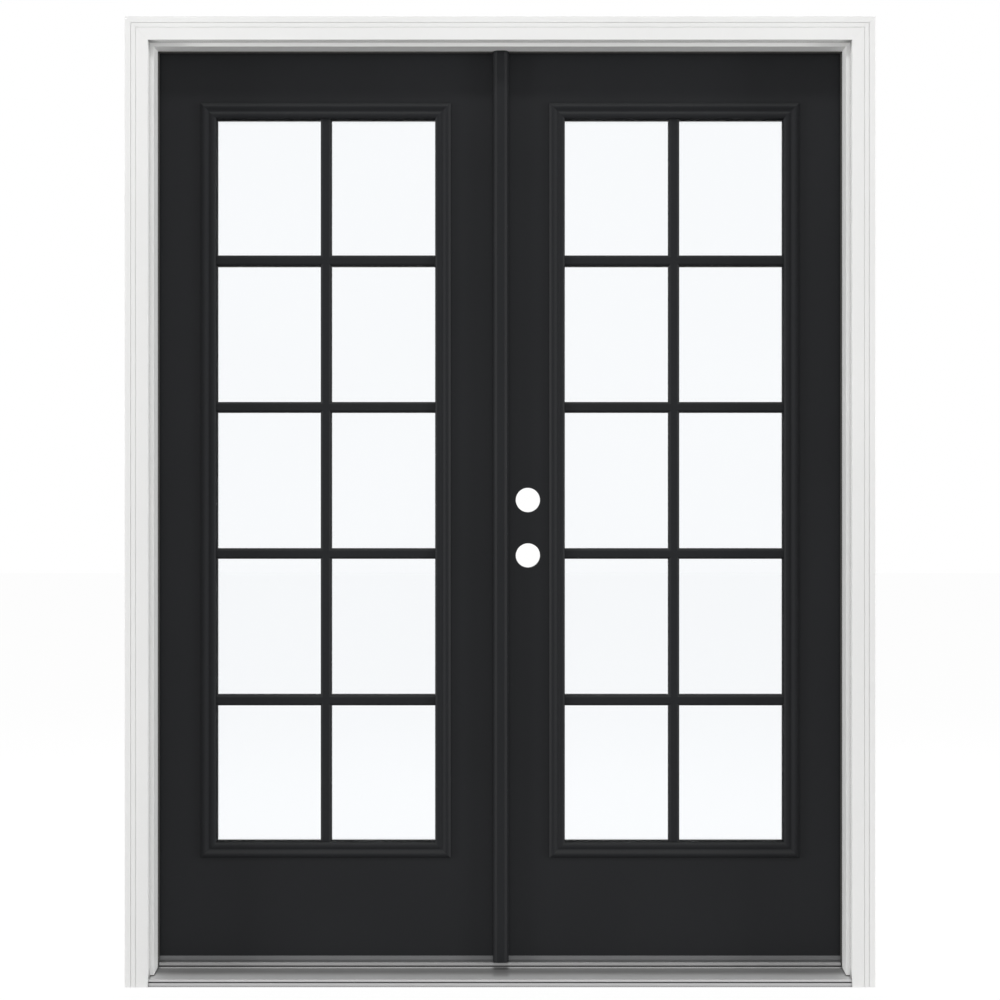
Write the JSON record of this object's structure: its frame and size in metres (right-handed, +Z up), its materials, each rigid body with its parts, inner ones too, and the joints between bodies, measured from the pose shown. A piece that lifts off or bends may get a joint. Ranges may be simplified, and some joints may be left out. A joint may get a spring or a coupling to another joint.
{
  "type": "french doors",
  "caption": "Pair of hinged glazed patio doors in a jamb frame with brickmould, sloped metal sill, astragal and flush bolts; bored for a lock and fitted into a wall opening.",
  "frame": {"origin": "middle of the unit's width at the underside of the sill, in the plane of the wall's outer face", "axes": "+X towards the active leaf, seen from outside on the right; +Y into the room; +Z up"},
  "size_m": [1.6256, 0.1604, 2.1019],
  "materials": {
    "white_wood": "white satin paint",
    "black_slab": "black satin paint",
    "black_astragal": "black satin paint",
    "black_plastic": "black satin",
    "glass": "clear",
    "spacer": "matte",
    "foam_seal": "matte",
    "grey_vinyl": "matte",
    "sill_composite": "matte",
    "sill_aluminium": "mill satin",
    "hinge_steel": "satin"
  },
  "bodies": {
    "frame": {"left_jamb": "white_wood", "right_jamb": "white_wood", "head_jamb": "white_wood", "sill_base": "sill_composite", "sill_deck": "sill_aluminium", "threshold_cap": "sill_aluminium", "cap_screws": "hinge_steel", "left_sill_gasket": "foam_seal", "right_sill_gasket": "foam_seal", "left_brickmould": "white_wood", "right_brickmould": "white_wood", "head_brickmould": "white_wood", "left_weatherstrip": "foam_seal", "right_weatherstrip": "foam_seal", "head_weatherstrip": "foam_seal", "passive_jamb_hinge_plates": "hinge_steel", "active_jamb_hinge_plates": "hinge_steel", "passive_hinge_pins": "hinge_steel", "active_hinge_pins": "hinge_steel", "passive_jamb_hinge_screws": "hinge_steel", "active_jamb_hinge_screws": "hinge_steel"},
    "active_leaf": {"active_slab": "black_slab", "active_outer_lite_frame": "black_plastic", "active_inner_lite_frame": "black_plastic", "active_outer_grille": "black_plastic", "active_inner_grille": "black_plastic", "active_outer_pane": "glass", "active_inner_pane": "glass", "active_spacer": "spacer", "active_lite_screws": "hinge_steel", "active_door_bottom": "grey_vinyl", "active_hinge_plates": "hinge_steel", "active_hinge_screws": "hinge_steel"},
    "passive_leaf": {"passive_slab": "black_slab", "passive_outer_lite_frame": "black_plastic", "passive_inner_lite_frame": "black_plastic", "passive_outer_grille": "black_plastic", "passive_inner_grille": "black_plastic", "passive_outer_pane": "glass", "passive_inner_pane": "glass", "passive_spacer": "spacer", "passive_lite_screws": "hinge_steel", "passive_door_bottom": "grey_vinyl", "passive_hinge_plates": "hinge_steel", "passive_hinge_screws": "hinge_steel", "astragal": "black_astragal", "astragal_seal": "foam_seal", "astragal_screws": "hinge_steel"},
    "top_bolt": {"top_flush_bolt": "hinge_steel"},
    "bottom_bolt": {"bottom_flush_bolt": "hinge_steel"}
  },
  "joints": [
    {"name": "active_swing", "type": "hinge", "parent": "frame", "child": "active_leaf", "pos_m": [0.7623, 0.1224, 1.05], "axis": [0, 0, -1], "range_deg": [0, 100]},
    {"name": "passive_swing", "type": "hinge", "parent": "frame", "child": "passive_leaf", "pos_m": [-0.7623, 0.1224, 1.05], "axis": [0, 0, 1], "range_deg": [0, 90]},
    {"name": "top_bolt_slide", "type": "slide", "parent": "passive_leaf", "child": "top_bolt", "axis": [0, 0, 1], "range_m": [0, 0.019]},
    {"name": "bottom_bolt_slide", "type": "slide", "parent": "passive_leaf", "child": "bottom_bolt", "axis": [0, 0, -1], "range_m": [0, 0.019]}
  ],
  "couplings": [
    {"joint": "passive_swing", "follows": "active_swing", "ratio": 0.9}
  ]
}
